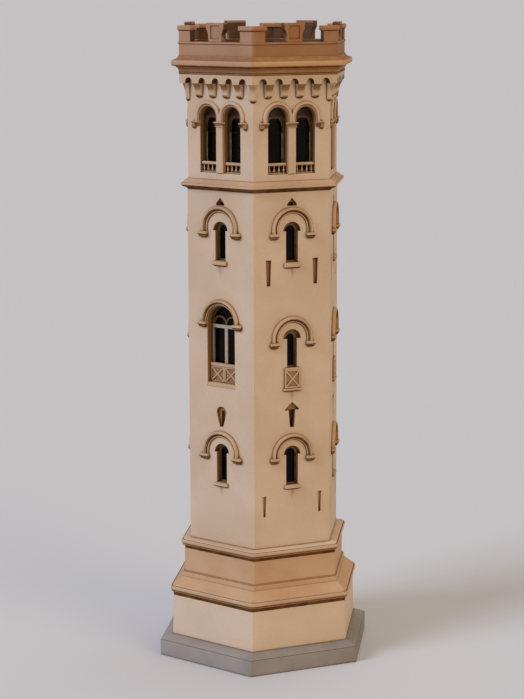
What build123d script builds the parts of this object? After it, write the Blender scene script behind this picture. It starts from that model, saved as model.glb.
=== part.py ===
from build123d import *
from math import cos, radians, tan
import os

# A hexagonal stone watch-tower as a table-top miniature. Millimetres, +Z up.
# The origin is the centre of the base plate's underside, and one corner of every
# hexagon points along -Y. Face number 0 looks to -120 degrees and the others
# follow every 60 degrees, so face 1 looks to -60 degrees and face 2 along +X.
# Hexagon sizes are corner radii unless a name says apothem.

# ---- tower heights and corner radii ----
base_radius = 77.0
base_height = 11.6
plinth_foot_radius = 67.9
plinth_foot = 14.2
plinth_radius = 67.2
plinth_top = 41.2
plinth_moulding_top = 48.7
pedestal_foot_radius = 67.6
pedestal_radius = 58.7
pedestal_top = 73.2
shaft_radius = 54.2
shaft_foot = 80.2
shaft_top = 316.3
belfry_radius = 53.6
belfry_foot = 323.7
belfry_top = 392.0
corbel_radius = 59.2
cornice_radius = 64.9
deck_height = 403.0
parapet_radius = 59.3
coping_bottom = 410.4
coping_top = 411.8
merlon_top = 418.7
corner_height = 422.1
tower_height = 424.0

# ---- walls and trim ----
wall = 8.0
parapet_wall = 5.0
fit_gap = 0.05
glue_line = 0.02
hood_depth = 2.6
stop_depth = 3.2
sill_depth = 2.0
small_frame_depth = 3.6
large_frame_depth = 5.6
frame_thickness = 1.2
glass_thickness = 1.0
floor_heights = (165.0, 250.0)
floor_thickness = 4.0

# ---- openings: a head radius, half the width, the sill and the head's centre ----
low_window_a = (6.0, 4.25, 122.0, 142.5)
low_window_b = (6.0, 4.3, 122.0, 142.5)
mid_window_b = (6.3, 3.6, 201.0, 220.2)
top_window_a = (6.0, 4.25, 270.8, 290.5)
top_window_b = (6.2, 4.3, 270.5, 290.8)
large_half_width = 11.5
large_sill = 186.5
large_spring = 229.5
transom = (225.2, 227.4)
mullion = 2.3
slit_depth = 2.2
vent_depth = 5.0
vent_recess = 2.0
apron_width = 11.2
apron_bottom = 187.5
apron_top = 200.9
apron_depth = 1.4
apron_back = 0.6
balcony_rail = (200.0, 202.0)
balcony_foot = 189.2
balcony_setback = 3.2
lattice_bar = 1.2

# ---- slits: distance from the middle, width at the top and at the foot, foot and top ----
slit_high = (16.6, 3.9, 2.8, 255.6, 272.6)
slit_low = (19.9, 3.0, 1.6, 101.7, 115.7)

# ---- vents between the windows ----
round_vent = (4.1, 1.5, 160.0, 169.6)
round_vent_slot = (1.25, 160.5, 170.5)
keyed_vent_foot = 160.9
keyed_vent_shoulder = 172.4
keyed_vent_point = 178.0
keyed_vent_half_widths = (1.5, 2.5, 4.9)
notch_half_width = 3.4
notch_shoulder = 1.4
notch_height = 5.3
notch_foot_a = 306.9
notch_foot_b = 307.3

# ---- hood moulds: centre, inner and outer radius, the stops' foot, top and reach past the arch ----
hoods_a = (
    (142.5, 10.6, 14.5, 136.7, 140.7, 2.6),
    (229.8, 11.7, 15.1, 225.8, 229.6, 2.4),
    (292.2, 10.6, 14.4, 285.6, 289.8, 2.6),
)
hoods_b = (
    (142.3, 10.6, 14.3, 137.0, 141.0, 1.4),
    (220.6, 10.7, 14.3, 214.1, 218.1, 1.4),
    (292.2, 10.7, 14.3, 285.6, 289.6, 1.4),
)
stop_return = 0.6

# ---- sills: width, foot and top ----
sills_a = ((11.0, 119.0, 122.0), (11.0, 267.2, 270.8))
sills_b = ((11.4, 118.9, 122.0), (13.2, 185.0, apron_bottom), (11.6, 266.6, 270.5))

# ---- belfry ----
bay_offset = 9.75
bay_half_width = 6.8
bay_foot = 327.8
bay_spring = 364.0
archivolt_radius = 10.2
archivolt_depth = 1.7
capital_depth = 2.4
capital_overhang = 0.8
colonnette_depth = 1.0
impost_width = 5.6
drop_width = 2.4
drop_height = 1.6
drop_depth = 2.0
capital_bottom = 357.5
capital_top = 361.0
belfry_rail = (333.0, 335.0)
baluster_count = 4
belfry_frame_depth = 5.6

# ---- corbel table, merlons and fixings ----
arch_pitch = 11.0
arch_radius = 2.6
arch_crown = 389.0
band_bottom = 385.4
corbel_width = 5.3
corbel_bottom = 376.0
merlon_leg = 9.3
merlon_width = 10.9
merlon_head_width = 14.0
merlon_head_height = 4.6
cap_overhang = 0.9
fascia_bottom = 396.8
fascia_top = 400.1
screw_circle = 40.0
screw_radius = 2.0
screw_head_radius = 4.0
screw_recess = 1.2
screw_end = 30.0

FACES = range(6)
LARGE_WINDOW_FACES = (0, 3)
APOTHEM = cos(radians(30))
MITRE = tan(radians(30))
shaft_face = shaft_radius * APOTHEM
belfry_face = belfry_radius * APOTHEM
parapet_face = parapet_radius * APOTHEM
corbel_face = corbel_radius * APOTHEM


def turn(face, shape):
    """Carry a shape made on the wall that looks along -Y to its own face."""
    return Rot(0, 0, 60 * face - 30) * shape


def hexagon(radius):
    return RegularPolygon(radius, 6, rotation=30)


def hex_stack(*levels):
    """One solid through hexagons given as (corner radius, height)."""
    return loft([Pos(0, 0, height) * hexagon(radius) for radius, height in levels], ruled=True)


def mitred(inner, outer, bottom, top):
    """A wall between two apothems whose ends are mitred to meet its neighbours."""
    plan = Polygon(
        (-outer * MITRE, -outer), (outer * MITRE, -outer),
        (inner * MITRE, -inner), (-inner * MITRE, -inner), align=None,
    )
    return Pos(0, 0, bottom) * extrude(plan, top - bottom)


def slab(outline, inner, outer):
    """Thicken an outline drawn as (across, height) between two distances from the axis."""
    return extrude(Plane.XZ.offset(inner) * outline, outer - inner, dir=(0, -1, 0))


def on_wall(outline, wall_face, depth):
    """Trim that is glued to a wall's outer face."""
    return slab(outline, wall_face + glue_line, wall_face + depth)


def panel(width, bottom, top, across=0.0):
    return Pos(across, (bottom + top) / 2) * Rectangle(width, top - bottom)


def half_disc(radius, centre, across=0.0):
    return (Pos(across, centre) * Circle(radius)) & panel(2 * radius, centre, centre + radius, across)


def arched(half_width, bottom, spring, across=0.0):
    return panel(2 * half_width, bottom, spring, across) + half_disc(half_width, spring, across)


def keyhole(head, half_width, bottom, centre, gap=0.0):
    """A narrow light under a wider round head."""
    jambs = panel(2 * (half_width - gap), bottom + gap, centre)
    return jambs + half_disc(head - gap, centre)


def crossed(width, bottom, top, bar, across=0.0):
    """A framed panel with one diagonal cross."""
    frame = panel(width, bottom, top, across)
    frame -= panel(width - 2 * bar, bottom + bar, top - bar, across)
    height = top - bottom
    length = (width ** 2 + height ** 2) ** 0.5
    angle = Vector(width, height).get_angle(Vector(1, 0))
    for side in (-1, 1):
        stroke = Pos(across, (bottom + top) / 2) * Rot(0, 0, side * angle) * Rectangle(length, bar)
        frame += stroke & panel(width, bottom, top, across)
    return frame


# ---- foot of the tower ----

def screw_places():
    return [Rot(0, 0, 120 * turn_number + 30) * Pos(screw_circle, 0, 0) for turn_number in range(3)]


def screw(radius_gap=0.0):
    """A countersunk screw, or its hole when the gap is above zero."""
    head_height = screw_head_radius - screw_radius
    shank_top = screw_end + 5 * radius_gap
    head = Cone(
        screw_head_radius + radius_gap, screw_radius + radius_gap, head_height,
        align=(Align.CENTER, Align.CENTER, Align.MIN),
    )
    shank = Cylinder(
        screw_radius + radius_gap, shank_top - screw_recess,
        align=(Align.CENTER, Align.CENTER, Align.MIN),
    )
    return Pos(0, 0, screw_recess) * (head + shank)


def screw_hole():
    mouth = Cylinder(
        screw_head_radius + 2 * fit_gap, screw_recess, align=(Align.CENTER, Align.CENTER, Align.MIN)
    )
    return screw(2 * fit_gap) + mouth


def drilled(shape):
    for place in screw_places():
        shape -= place * screw_hole()
    return shape


def base_plate():
    slope = hex_stack((base_radius, base_height), (plinth_foot_radius, plinth_foot))
    return drilled(extrude(hexagon(base_radius), base_height) + slope)


def plinth_block():
    return drilled(hex_stack((plinth_foot_radius, plinth_foot), (plinth_radius, plinth_top)))


def plinth_moulding():
    tip = plinth_radius + 2.3
    return hex_stack(
        (plinth_radius, plinth_top), (tip - 0.9, plinth_top + 2.6), (tip, plinth_top + 3.6),
        (tip, plinth_moulding_top - 1.6), (pedestal_foot_radius, plinth_moulding_top),
    )


def pedestal_block():
    step = pedestal_radius + 1.5
    return hex_stack(
        (pedestal_foot_radius, plinth_moulding_top), (step + 0.2, plinth_moulding_top + 5.2),
        (step, plinth_moulding_top + 7.8), (pedestal_radius, plinth_moulding_top + 9.0),
        (pedestal_radius, pedestal_top),
    )


def pedestal_moulding():
    tip = pedestal_radius + 2.6
    return hex_stack(
        (pedestal_radius, pedestal_top), (tip - 0.9, pedestal_top + 2.4), (tip, pedestal_top + 3.4),
        (tip, shaft_foot - 1.4), (tip - 2.0, shaft_foot),
    )


# ---- shaft ----

def vent_a():
    """A tapering recess with a round top, and a deep slot inside it."""
    radius, foot_half, foot, spring = round_vent
    taper = Polygon((-foot_half, foot), (foot_half, foot), (radius, spring), (-radius, spring), align=None)
    slot_half, slot_foot, slot_top = round_vent_slot
    recess = slab(taper + half_disc(radius, spring), shaft_face - vent_recess, shaft_face)
    return recess + slab(panel(2 * slot_half, slot_foot, slot_top), shaft_face - vent_depth, shaft_face)


def pointed(half_width, bottom, shoulder, point):
    """A low gable outline."""
    return Polygon((-half_width, bottom), (half_width, bottom), (half_width, shoulder), (0, point),
                   (-half_width, shoulder), align=None)


def vent_b():
    """A slot that narrows downwards under a pointed head."""
    foot, shoulder, head = keyed_vent_half_widths
    taper = Polygon((-foot, keyed_vent_foot), (foot, keyed_vent_foot), (shoulder, keyed_vent_shoulder),
                    (-shoulder, keyed_vent_shoulder), align=None)
    cap = pointed(head, keyed_vent_shoulder, keyed_vent_shoulder + 1.0, keyed_vent_point)
    return slab(cap, shaft_face - vent_recess, shaft_face) + slab(
        taper, shaft_face - vent_depth, shaft_face
    )


def notch(bottom):
    """The small pointed recess over a top window's hood, with a slot at its middle."""
    outline = pointed(notch_half_width, bottom, bottom + notch_shoulder, bottom + notch_height)
    slot = panel(notch_half_width, bottom, bottom + notch_shoulder + 1.0)
    return slab(outline, shaft_face - vent_recess, shaft_face) + slab(
        slot, shaft_face - vent_depth, shaft_face
    )


def slits(across, top_width, foot_width, bottom, top):
    """A pair of upright recesses that narrow towards the foot."""
    pair = Sketch()
    for middle in (-across, across):
        pair += Polygon(
            (middle - foot_width / 2, bottom), (middle + foot_width / 2, bottom),
            (middle + top_width / 2, top), (middle - top_width / 2, top), align=None,
        )
    return slab(pair, shaft_face - slit_depth, shaft_face)


def through(outline):
    return slab(outline, shaft_face - wall, shaft_face)


def shaft_wall(face):
    shape = mitred(shaft_face - wall, shaft_face, shaft_foot, shaft_top)
    if face in LARGE_WINDOW_FACES:
        shape -= through(keyhole(*low_window_a))
        shape -= through(keyhole(*top_window_a))
        shape -= through(arched(large_half_width, large_sill, large_spring))
        shape -= vent_a()
        shape -= notch(notch_foot_a)
    else:
        for window in (low_window_b, mid_window_b, top_window_b):
            shape -= through(keyhole(*window))
        shape -= vent_b()
        shape -= notch(notch_foot_b)
        shape -= slits(*slit_high)
        shape -= slits(*slit_low)
    return turn(face, shape)


def shaft_floor(bottom):
    radius = (shaft_face - wall) / APOTHEM
    return Pos(0, 0, bottom) * extrude(hexagon(radius), floor_thickness)


def hood(centre, inner, outer, stop_bottom, stop_top, reach):
    """A round hood mould whose legs end on two stops that turn outwards."""
    ring = half_disc(outer, centre) - half_disc(inner, centre)
    for side in (-1, 1):
        ring += panel(outer - inner, stop_top, centre, side * (outer + inner) / 2)
    shape = on_wall(ring, shaft_face, hood_depth)
    near, far = inner - stop_return, outer + reach
    for side in (-1, 1):
        stop = panel(far - near, stop_bottom, stop_top, side * (near + far) / 2)
        shape += on_wall(stop, shaft_face, stop_depth)
    return shape


def hood_moulds(face):
    hoods = hoods_a if face in LARGE_WINDOW_FACES else hoods_b
    return [turn(face, hood(*sizes)) for sizes in hoods]


def sill(width, bottom, top):
    return on_wall(panel(width, bottom, top), shaft_face, sill_depth)


def window_sills(face):
    sills = sills_a if face in LARGE_WINDOW_FACES else sills_b
    return [turn(face, sill(*sizes)) for sizes in sills]


def lattice_apron(face):
    """The crossed panel that hangs under the middle window of a plain face."""
    outline = crossed(apron_width, apron_bottom, apron_top, lattice_bar)
    shape = on_wall(panel(apron_width, apron_bottom, apron_top), shaft_face, apron_back)
    return turn(face, shape + on_wall(outline, shaft_face, apron_depth))


def balcony(face):
    """The low parapet inside a large window: a base, two crossed bays and a rail."""
    front = shaft_face - balcony_setback
    width = large_half_width - fit_gap
    bays = Sketch() + [
        crossed(width, balcony_foot, balcony_rail[0], lattice_bar, side * width / 2) for side in (-1, 1)
    ]
    shape = slab(bays, front - 1.2, front)
    shape += slab(panel(2 * width, balcony_foot, balcony_rail[0]), front - 1.8, front - 0.8)
    shape += slab(panel(2 * width, *balcony_rail), front - 1.8, front + 0.6)
    shape += slab(panel(2 * width, large_sill, balcony_foot), front - 1.8, shaft_face)
    return turn(face, shape)


def large_window_outline():
    return arched(large_half_width - fit_gap, large_sill, large_spring)


def large_window_frame(face):
    """Two lights under a transom, and a round head with two small arches."""
    edge = 1.3
    light_width = large_half_width - edge - mullion / 2
    outline = large_window_outline()
    for side in (-1, 1):
        across = side * (mullion + light_width) / 2
        outline -= panel(light_width, large_sill + edge, transom[0], across)
    outline -= panel(2 * (large_half_width - edge), transom[1], large_spring)
    outline -= half_disc(large_half_width - edge, large_spring)
    arch = (large_half_width - edge) / 2
    for side in (-1, 1):
        ring = half_disc(arch + 0.4, large_spring - 1.5, side * arch)
        outline += ring - half_disc(arch - 0.7, large_spring - 1.5, side * arch)
        outline += panel(1.1, transom[1], large_spring - 1.5, side * (2 * arch - 0.15))
    outline += panel(1.1, transom[1], large_spring - 1.5)
    back = shaft_face - large_frame_depth - frame_thickness
    return turn(face, slab(outline, back, back + frame_thickness))


def small_windows(face):
    """Every narrow window on a face as (head, half width, sill, centre)."""
    if face in LARGE_WINDOW_FACES:
        return (low_window_a, top_window_a)
    return (low_window_b, mid_window_b, top_window_b)


def small_window_frame(face, window):
    head, half_width, bottom, centre = window
    light = half_width - 0.7
    outline = keyhole(*window, gap=fit_gap)
    outline -= arched(light, bottom + 0.9, centre)
    back = shaft_face - small_frame_depth - frame_thickness
    return turn(face, slab(outline, back, back + frame_thickness))


def small_window_glass(face, window):
    front = shaft_face - small_frame_depth - frame_thickness
    return turn(face, slab(keyhole(*window, gap=fit_gap), front - glass_thickness, front))


def large_window_glass(face):
    front = shaft_face - large_frame_depth - frame_thickness
    return turn(face, slab(large_window_outline(), front - glass_thickness, front))


def shaft_glass():
    panes = [small_window_glass(face, window) for face in FACES for window in small_windows(face)]
    return panes + [large_window_glass(face) for face in LARGE_WINDOW_FACES]


def string_course():
    tip = belfry_radius + 5.6
    return hex_stack(
        (shaft_radius, shaft_top), (tip - 0.5, shaft_top + 2.8), (tip, shaft_top + 3.8),
        (belfry_radius, belfry_foot),
    )


# ---- belfry ----

def bays():
    return (-bay_offset, bay_offset)


def belfry_wall(face):
    shape = mitred(belfry_face - wall, belfry_face, belfry_foot, belfry_top)
    for across in bays():
        opening = arched(bay_half_width, bay_foot, bay_spring, across)
        shape -= slab(opening, belfry_face - wall, belfry_face)
    return turn(face, shape)


def belfry_arcade(face):
    """Archivolts, capitals and a middle colonnette that stand on a belfry wall."""
    rings = Sketch()
    for across in bays():
        rings += half_disc(archivolt_radius, bay_spring, across)
        rings += panel(2 * archivolt_radius, capital_top, bay_spring, across)
    for across in bays():
        rings -= half_disc(bay_half_width + 0.1, bay_spring, across)
        rings -= panel(2 * bay_half_width + 0.2, capital_top, bay_spring, across)
    shape = on_wall(rings, belfry_face, archivolt_depth)
    pier = 2 * (bay_offset - bay_half_width)
    middle_capital = panel(pier + 2 * capital_overhang, capital_bottom, capital_top)
    shape += on_wall(middle_capital, belfry_face, capital_depth)
    shape += on_wall(panel(pier - 1.0, bay_foot, capital_bottom), belfry_face, colonnette_depth)
    jamb = bay_offset + bay_half_width
    for side in (-1, 1):
        impost = panel(impost_width, capital_bottom, capital_top, side * (jamb + impost_width / 2))
        drop_middle = jamb + impost_width - drop_width / 2
        drop = panel(drop_width, capital_bottom - drop_height, capital_bottom, side * drop_middle)
        shape += on_wall(impost, belfry_face, capital_depth)
        shape += on_wall(drop, belfry_face, drop_depth)
    return turn(face, shape)


def belfry_balustrade(face, across):
    width = 2 * (bay_half_width - fit_gap)
    front = belfry_face - 1.2
    shape = slab(panel(width, *belfry_rail, across), front - 2.0, front)
    pitch = width / baluster_count
    for number in range(baluster_count):
        place = across - width / 2 + (number + 0.5) * pitch
        shape += slab(panel(1.3, bay_foot, belfry_rail[0], place), front - 1.6, front - 0.3)
    return turn(face, shape)


def belfry_frame(face, across):
    """A slim frame round one light, with a solid panel in the arch."""
    outline = arched(bay_half_width - fit_gap, bay_foot, bay_spring, across)
    outline -= panel(2 * (bay_half_width - 1.2), bay_foot + 1.2, bay_spring - 1.0, across)
    back = belfry_face - belfry_frame_depth - frame_thickness
    return turn(face, slab(outline, back, back + frame_thickness))


def belfry_pane(face, across):
    outline = arched(bay_half_width - fit_gap, bay_foot, bay_spring, across)
    front = belfry_face - belfry_frame_depth - frame_thickness
    return turn(face, slab(outline, front - glass_thickness, front))


# ---- corbel table and crown ----

def corbel(across):
    """A bracket with a rounded foot that swells out to carry the band."""
    reach = corbel_face - belfry_face
    profile = Polygon(
        (-belfry_face, corbel_bottom), (-belfry_face - 1.6, corbel_bottom + 0.8),
        (-belfry_face - 2.2, corbel_bottom + 2.4), (-belfry_face - 2.6, corbel_bottom + 5.0),
        (-belfry_face - reach + 0.6, band_bottom - 1.4), (-belfry_face - reach, band_bottom),
        (-belfry_face, band_bottom), align=None,
    )
    return Pos(across - corbel_width / 2, 0, 0) * extrude(Plane.YZ * profile, corbel_width, dir=(1, 0, 0))


def corner_corbel(side):
    """Half of a larger corner bracket, mitred to meet the half on the next wall."""
    bottom = corbel_bottom - 2.6
    end = 2.5 * arch_pitch - corbel_width / 2
    sections = []
    for reach, height in ((1.2, bottom), (2.4, bottom + 1.6), (3.0, bottom + 7.0),
                          (corbel_face - belfry_face, band_bottom)):
        front = belfry_face + reach
        sections.append(Pos(0, 0, height) * Polygon(
            (end, -front), (front * MITRE, -front), (belfry_face * MITRE, -belfry_face),
            (end, -belfry_face), align=None,
        ))
    half = loft(sections, ruled=True)
    return half if side > 0 else mirror(half, Plane.YZ)


def corbel_arcade(face):
    shape = mitred(belfry_face, corbel_face, band_bottom, belfry_top)
    for number in range(-2, 3):
        arch = arched(arch_radius, band_bottom, arch_crown - arch_radius, number * arch_pitch)
        shape -= slab(arch, belfry_face, corbel_face)
    for number in (-1.5, -0.5, 0.5, 1.5):
        shape += corbel(number * arch_pitch)
    return turn(face, shape + corner_corbel(-1) + corner_corbel(1))


def roof_deck():
    return hex_stack(
        (corbel_radius, belfry_top), (cornice_radius, fascia_bottom), (cornice_radius, fascia_top),
        (parapet_radius + 2.0, fascia_top + 1.0), (parapet_radius, deck_height),
    )


def parapet(face):
    """A low wall with a coping that stands a little proud of it."""
    shape = mitred(parapet_face - parapet_wall, parapet_face, deck_height, coping_bottom)
    shape += mitred(parapet_face - parapet_wall, parapet_face + 0.6, coping_bottom, coping_top)
    return turn(face, shape)


def corner_piece(leg, inner, outer, bottom, top):
    """A block round one corner, square-ended on both walls."""
    long_wall = mitred(inner, outer, bottom, top)
    beyond = parapet_radius / 2 - leg
    end = long_wall & (Pos(beyond, -outer, bottom) * Box(
        outer, 2 * outer, top - bottom, align=(Align.MIN, Align.CENTER, Align.MIN)
    ))
    return turn(0, end) + turn(1, mirror(end, Plane.YZ))


def corner_merlon(corner):
    block = corner_piece(merlon_leg, parapet_face - parapet_wall, parapet_face, coping_top, merlon_top)
    return Rot(0, 0, 60 * corner) * block


def corner_cap(corner):
    inner = parapet_face - parapet_wall - cap_overhang
    outer = parapet_face + cap_overhang
    block = corner_piece(merlon_leg + cap_overhang, inner, outer, merlon_top, corner_height)
    return Rot(0, 0, 60 * corner) * block


def middle_merlon(face):
    """A block that widens to a head near its top, with a sunk panel on its outer side."""
    half, head = merlon_width / 2, merlon_head_width / 2
    neck = tower_height - merlon_head_height
    outline = Polygon(
        (-half, coping_top), (half, coping_top), (half, neck - 1.0), (head, neck), (head, tower_height),
        (-head, tower_height), (-head, neck), (-half, neck - 1.0), align=None,
    )
    shape = slab(outline, parapet_face - parapet_wall, parapet_face)
    sunk = panel(merlon_width - 3.4, coping_top + 1.8, tower_height - 2.0)
    return turn(face, shape - slab(sunk, parapet_face - 0.8, parapet_face))


# ---- one file for each sub-part ----

def save(name, *solids):
    shape = solids[0] if len(solids) == 1 else Compound(solids)
    export_step(shape, f"parts/{name}.step")


def main():
    os.makedirs("parts", exist_ok=True)
    save("base_plate", base_plate())
    save("base_screws", *[place * screw() for place in screw_places()])
    save("plinth_block", plinth_block())
    save("plinth_moulding", plinth_moulding())
    save("pedestal_block", pedestal_block())
    save("pedestal_moulding", pedestal_moulding())
    save("string_course", string_course())
    save("roof_deck", roof_deck())
    for name, bottom in zip(("shaft_floor_low", "shaft_floor_high"), floor_heights):
        save(name, shaft_floor(bottom))
    for face in FACES:
        save(f"shaft_wall_{face}", shaft_wall(face))
        save(f"hood_moulds_{face}", *hood_moulds(face))
        save(f"window_sills_{face}", *window_sills(face))
        save(f"belfry_wall_{face}", belfry_wall(face))
        save(f"belfry_arcade_{face}", belfry_arcade(face))
        save(f"corbel_arcade_{face}", corbel_arcade(face))
    plain_faces = [face for face in FACES if face not in LARGE_WINDOW_FACES]
    save("lattice_aprons", *[lattice_apron(face) for face in plain_faces])
    save("window_balconies", *[balcony(face) for face in LARGE_WINDOW_FACES])
    save("large_window_frames", *[large_window_frame(face) for face in LARGE_WINDOW_FACES])
    save("small_window_frames", *[
        small_window_frame(face, window) for face in FACES for window in small_windows(face)
    ])
    save("shaft_glass", *shaft_glass())
    openings = [(face, across) for face in FACES for across in bays()]
    save("belfry_balustrades", *[belfry_balustrade(*place) for place in openings])
    save("belfry_frames", *[belfry_frame(*place) for place in openings])
    save("belfry_glass", *[belfry_pane(*place) for place in openings])
    save("parapet_walls", *[parapet(face) for face in FACES])
    save("corner_merlons", *[corner_merlon(corner) for corner in FACES])
    save("middle_merlons", *[middle_merlon(face) for face in FACES])
    save("corner_caps", *[corner_cap(corner) for corner in FACES])


main()
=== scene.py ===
from math import cos, hypot, pi, radians, sin, tan, tau

import bmesh
import bpy
from mathutils import Matrix, Vector


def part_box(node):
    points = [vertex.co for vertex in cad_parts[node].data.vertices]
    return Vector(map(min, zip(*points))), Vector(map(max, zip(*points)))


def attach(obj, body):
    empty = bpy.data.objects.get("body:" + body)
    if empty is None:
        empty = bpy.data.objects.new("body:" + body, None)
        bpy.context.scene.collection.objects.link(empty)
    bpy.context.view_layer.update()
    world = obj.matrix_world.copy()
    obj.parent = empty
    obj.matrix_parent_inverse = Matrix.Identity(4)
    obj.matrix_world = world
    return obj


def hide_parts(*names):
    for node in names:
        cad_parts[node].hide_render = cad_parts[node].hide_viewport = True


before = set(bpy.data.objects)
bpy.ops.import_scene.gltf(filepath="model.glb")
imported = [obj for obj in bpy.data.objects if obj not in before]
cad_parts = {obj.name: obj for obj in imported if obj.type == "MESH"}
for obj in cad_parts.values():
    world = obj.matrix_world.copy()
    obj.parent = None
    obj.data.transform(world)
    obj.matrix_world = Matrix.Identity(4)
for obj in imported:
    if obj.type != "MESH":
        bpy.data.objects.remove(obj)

# A hexagonal watch-tower miniature. Shapes below are written in millimetres on a wall that
# looks along -Y, as (across, proud of the wall, height), and are then turned to their face.
MM = 0.001
FACES = range(6)
LARGE_WINDOW_FACES = (0, 3)
PLAIN_FACES = tuple(face for face in FACES if face not in LARGE_WINDOW_FACES)
MITRE = tan(radians(30))
COS_30 = cos(radians(30))
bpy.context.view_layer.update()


# ---- sizes read from the frame, in millimetres ----

def low(node):
    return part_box(node)[0] / MM


def high(node):
    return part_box(node)[1] / MM


def corner_radius(node):
    return high(node).y


def wall_distance(node):
    return high(node).x


def hex_sizes(node):
    """Foot, top and corner radius of a hexagonal node."""
    return low(node).z, high(node).z, corner_radius(node)


shaft_face = wall_distance("shaft_wall_2")
belfry_face = wall_distance("belfry_wall_2")
corbel_face = wall_distance("corbel_arcade_2")
belfry_radius = belfry_face / COS_30


# ---- node helpers ----

class Paint:
    """A material's nodes, made one after another and joined by name."""

    def __init__(self, name):
        self.material = bpy.data.materials.new(name)
        self.material.use_nodes = True
        self.tree = self.material.node_tree
        self.shader = self.tree.nodes["Principled BSDF"]

    def node(self, kind, inputs=None, **settings):
        made = self.tree.nodes.new("ShaderNode" + kind)
        for key, value in settings.items():
            setattr(made, key, value)
        for key, value in (inputs or {}).items():
            self.put(made.inputs[key], value)
        return made

    def put(self, socket, value):
        if isinstance(value, bpy.types.NodeSocket):
            self.tree.links.new(value, socket)
        else:
            socket.default_value = value

    def surface(self, name, value):
        self.put(self.shader.inputs[name], value)

    def place(self):
        return self.node("TexCoord").outputs["Object"]

    def noise(self, scale, detail, vector=None):
        return self.node("TexNoise", {
            "Scale": scale, "Detail": detail, "Roughness": 0.55, "Vector": vector or self.place(),
        }).outputs["Fac"]

    def axis(self, vector, name):
        return self.node("SeparateXYZ", {"Vector": vector}).outputs[name]

    def dot(self, first, second):
        return self.node("VectorMath", {0: first, 1: second}, operation="DOT_PRODUCT").outputs["Value"]

    def ramp(self, value, start, end, out_low=0.0, out_high=1.0):
        return self.node("MapRange", {
            "Value": value, "From Min": start, "From Max": end, "To Min": out_low, "To Max": out_high,
        }, interpolation_type="SMOOTHSTEP").outputs["Result"]

    def patches(self, scale, detail, start, end, out_low=0.0, out_high=1.0):
        """Noise turned into patches with soft edges."""
        return self.ramp(self.noise(scale, detail), start, end, out_low, out_high)

    def math(self, operation, first, second=0.0):
        return self.node("Math", {0: first, 1: second}, operation=operation).outputs[0]

    def times(self, first, second):
        return self.math("MULTIPLY", first, second)

    def mix(self, factor, first, second, blend="MIX"):
        return self.node("Mix", {"Factor": factor, "A": first, "B": second},
                         data_type="RGBA", blend_type=blend).outputs["Result"]

    def bump(self, height, strength, distance, under=None):
        made = self.node("Bump", {"Height": height, "Strength": strength, "Distance": distance})
        if under:
            self.put(made.inputs["Normal"], under)
        return made.outputs["Normal"]


def colour(red, green, blue):
    """A linear colour from screen values of 0 to 255."""
    def linear(value):
        value /= 255
        return value / 12.92 if value <= 0.04045 else ((value + 0.055) / 1.055) ** 2.4
    return (linear(red), linear(green), linear(blue), 1.0)


PLINTH = colour(216, 191, 164)
CREAM = colour(211, 186, 158)
CREAM_SHADE = colour(203, 175, 144)
TAN = colour(200, 168, 132)
TAN_SHADE = colour(188, 153, 116)
OCHRE = colour(200, 162, 124)
OCHRE_SHADE = colour(190, 148, 107)
CROWN = colour(178, 138, 106)
CROWN_SHADE = colour(164, 124, 92)
# Darker crown and cornice paints for the walls right of the front corner: painted shade on the side turned
# from the key light.
CROWN_DARK = colour(158, 107, 62)
CORNICE = colour(190, 150, 117)
CORNICE_DARK = colour(196, 152, 98)
# Browns of the wash, laid also as painted shade in hollows, recesses and undersides; the pale one also
# stains under the sills.
SHADE_WASH_BROWN = colour(70, 35, 6)
PALE_SHADE_WASH_BROWN = colour(110, 64, 22)
SHADE_WASH_GLAZE = colour(187, 158, 120)
GREY = colour(154, 145, 136)
GREY_SHADE = colour(139, 130, 119)
# Reveal browns: painted shade inside the wall's openings, the deep one further in.
REVEAL = colour(146, 104, 62)
REVEAL_DEEP = colour(56, 32, 12)
WORN_EDGE = colour(226, 204, 176)
GREY_DUST = colour(162, 150, 136)
# Dark grey-brown for painted shade in the base's hollows and for the line along its edge.
GREY_LINE = colour(78, 64, 50)
GREY_SCUFF = colour(186, 176, 162)
DECK = colour(120, 86, 60)
DECK_SHADE = colour(92, 66, 50)
# Inner browns: the crown's inner paint and painted shade on its inward sides.
INNER_BROWN = colour(104, 70, 44)
INNER_SHADE = colour(84, 60, 46)
# Near black panes: painted shade for the dark room behind the glazing.
GLASS = colour(7, 4, 2)
GLASS_CLOUD = colour(15, 10, 6)
STEEL = colour(150, 148, 144)
STEEL_LIGHT = colour(184, 182, 178)
TRACERY = colour(88, 58, 30)
PALE_BEAD = colour(176, 160, 138)

# A moulded piece carries its paint, a solid brown that is brown wash and painted shade in its undersides,
# grooves and recesses, and a half-strength mix of that brown, and some carry the paint of a ledge as well.
# A strip's number picks one of them.
PAINT, WASH_AND_SHADE, HALF_WASH_AND_SHADE, LEDGE = range(4)


def hollow_mask(paint, reach):
    """Near 1 where other surfaces stand close, as in corners and grooves; it places painted shade."""
    made = paint.node("AmbientOcclusion", {"Distance": reach}, samples=8)
    return paint.ramp(made.outputs["AO"], 0.88, 0.35)


# Near 1 on surfaces that face down; it places painted shade.
def underside_mask(paint):
    normal = paint.node("NewGeometry").outputs["Normal"]
    up = paint.axis(normal, "Z")
    return paint.ramp(up, -0.08, -0.55)


def edge_mask(paint, radius):
    """Near 1 along outer and inner edges."""
    soft = paint.node("Bevel", {"Radius": radius}, samples=4).outputs["Normal"]
    sharp = paint.node("NewGeometry").outputs["Normal"]
    return paint.ramp(paint.dot(soft, sharp), 0.995, 0.90)


def coat_of_paint(paint, light, shade):
    """Brushed paint: slow drifts of tone and a fine speckle."""
    drift = paint.patches(22.0, 4.0, 0.35, 0.68)
    tone = paint.mix(drift, light, shade)
    speckle = paint.patches(1400.0, 2.0, 0.3, 0.7, 0.95, 1.02)
    grey = paint.node("CombineColor", {"Red": speckle, "Green": speckle, "Blue": speckle})
    return paint.mix(1.0, tone, grey.outputs["Color"], "MULTIPLY")


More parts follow.
